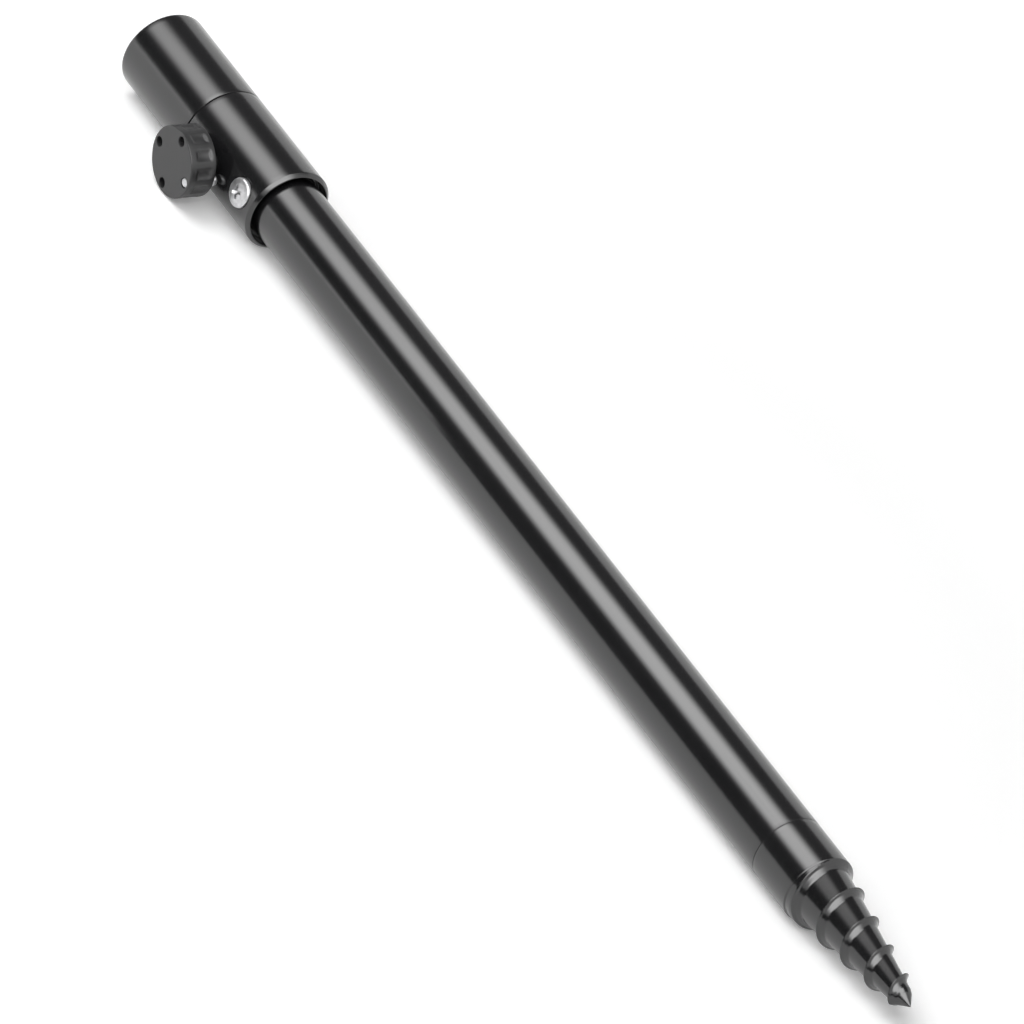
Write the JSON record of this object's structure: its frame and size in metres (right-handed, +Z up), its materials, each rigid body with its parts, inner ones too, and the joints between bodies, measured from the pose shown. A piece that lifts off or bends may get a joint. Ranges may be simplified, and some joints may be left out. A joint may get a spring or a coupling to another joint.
{
  "type": "bank stick",
  "caption": "Telescopic rod support stick with a threaded head, a fluted clamp knob on a collar, and a tapered screw point for pushing and turning into the ground.",
  "frame": {"origin": "middle of the closed stick's box, on the surface it lies on", "axes": "+X along the stick from the head to the screw point, +Z up, the clamp knob on the -Y side"},
  "size_m": [0.3134, 0.029, 0.02],
  "materials": {
    "gloss_black_anodised": "smooth turned aluminium, gloss black anodised",
    "satin_black_knob": "turned aluminium, satin dark grey-black anodised",
    "bright_steel": "bright plated steel, lightly tumbled",
    "brass": "turned brass, clean",
    "black_nylon": "moulded nylon, fine matt",
    "white_nylon": "moulded nylon, natural white"
  },
  "bodies": {
    "ground_section": {"outer_tube": "gloss_black_anodised", "clamp_collar": "gloss_black_anodised", "collar_bush": "black_nylon", "collar_screw": "bright_steel", "screw_point": "gloss_black_anodised"},
    "slide_ring": {"guide_ring": "white_nylon"},
    "rod_section": {"inner_tube": "gloss_black_anodised", "stick_head": "gloss_black_anodised", "thread_insert": "brass", "inner_plug": "black_nylon"},
    "clamp_pad": {"pressure_pad": "white_nylon"},
    "knob_set": {"clamp_knob": "satin_black_knob", "clamp_screw": "bright_steel", "knob_pin": "bright_steel"}
  },
  "joints": [
    {"name": "extension", "type": "slide", "parent": "ground_section", "child": "slide_ring", "axis": [-1, 0, 0], "range_m": [0, 0.199]},
    {"name": "swivel", "type": "hinge", "parent": "slide_ring", "child": "rod_section", "pos_m": [0, 0.00451, 0.01], "axis": [1, 0, 0], "continuous": true},
    {"name": "clamp_travel", "type": "slide", "parent": "ground_section", "child": "clamp_pad", "axis": [0, -0.9923, -0.1242], "range_m": [0, 0.0008]},
    {"name": "clamp_turn", "type": "hinge", "parent": "clamp_pad", "child": "knob_set", "pos_m": [-0.11945, 0.00451, 0.01], "axis": [0, -0.9923, -0.1242], "range_deg": [0, 360]}
  ],
  "couplings": [
    {"joint": "clamp_turn", "follows": "clamp_travel", "rad_per_m": 7854}
  ]
}
